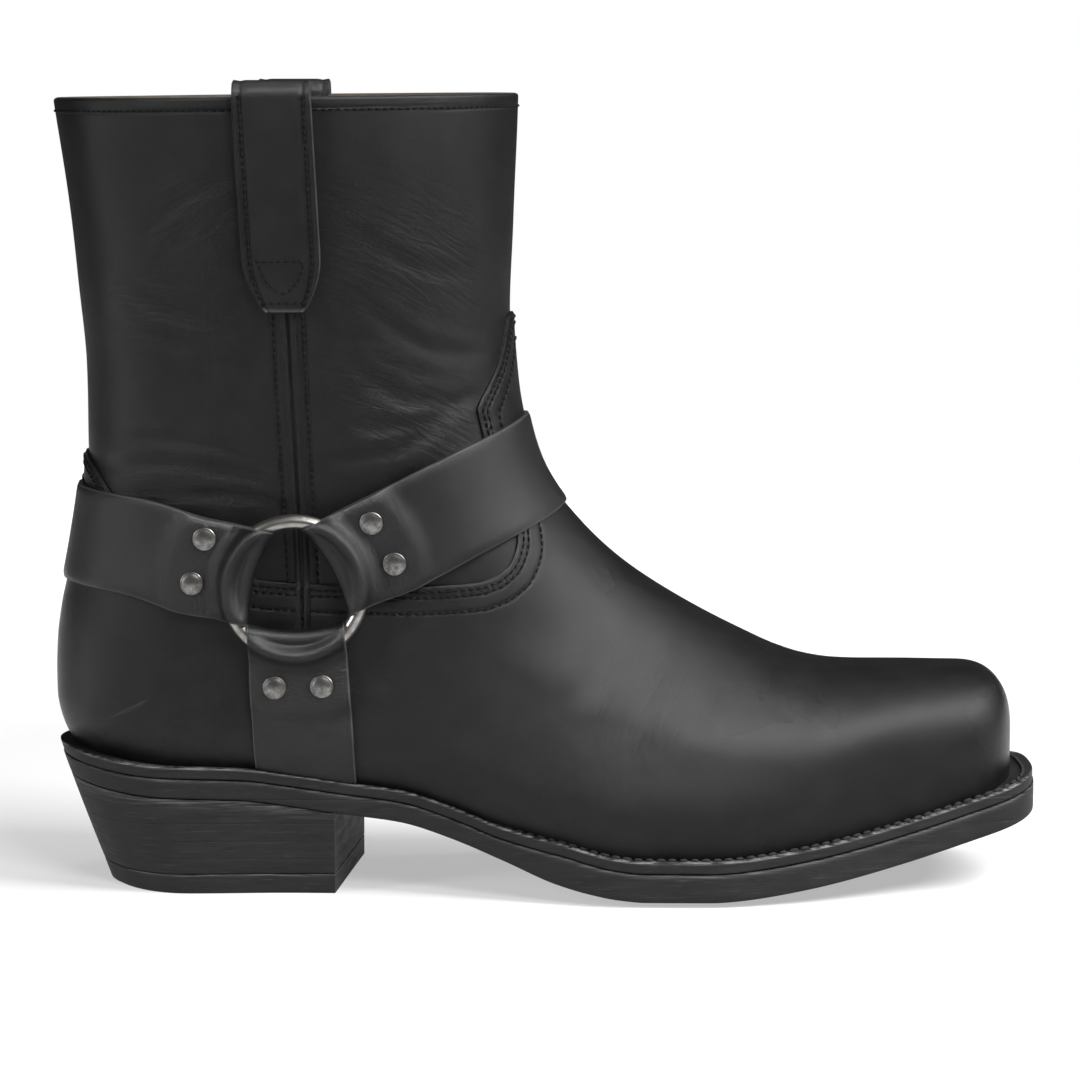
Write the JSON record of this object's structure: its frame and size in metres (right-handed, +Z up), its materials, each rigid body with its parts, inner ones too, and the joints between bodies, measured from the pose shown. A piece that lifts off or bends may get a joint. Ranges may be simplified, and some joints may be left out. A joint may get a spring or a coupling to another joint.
{
  "type": "western boot",
  "caption": "Ankle-high leather harness boot for the right foot, with a square toe, stacked heel, straps riveted round rings and pull straps.",
  "frame": {"origin": "middle of the heel's flat underside, on the floor", "axes": "+X from heel to toe, +Y from the outer side of the foot to the inner side, +Z up"},
  "size_m": [0.3033, 0.1118, 0.2478],
  "materials": {
    "black_leather": "black oiled leather, fine grain, satin",
    "strap_leather": "black strap leather, satin",
    "sole_leather": "black stained leather edge, matte",
    "black_rubber": "black rubber, matte",
    "insole_leather": "dark brown lining leather, matte",
    "antique_nickel": "antique nickel"
  },
  "bodies": {
    "root": {"upper": "black_leather", "insole": "insole_leather", "welt": "sole_leather", "outsole": "black_rubber", "heel_stack": "sole_leather", "heel_top_lift": "black_rubber", "harness_front_strap": "strap_leather", "harness_back_strap": "strap_leather", "harness_side_strap_lateral": "strap_leather", "harness_side_strap_medial": "strap_leather", "pull_strap_lateral": "black_leather", "pull_strap_medial": "black_leather", "ring_lateral": "antique_nickel", "ring_medial": "antique_nickel", "rivet_lateral_1": "antique_nickel", "rivet_lateral_2": "antique_nickel", "rivet_lateral_3": "antique_nickel", "rivet_lateral_4": "antique_nickel", "rivet_lateral_5": "antique_nickel", "rivet_lateral_6": "antique_nickel", "rivet_medial_1": "antique_nickel", "rivet_medial_2": "antique_nickel", "rivet_medial_3": "antique_nickel", "rivet_medial_4": "antique_nickel", "rivet_medial_5": "antique_nickel", "rivet_medial_6": "antique_nickel"}
  },
  "joints": []
}
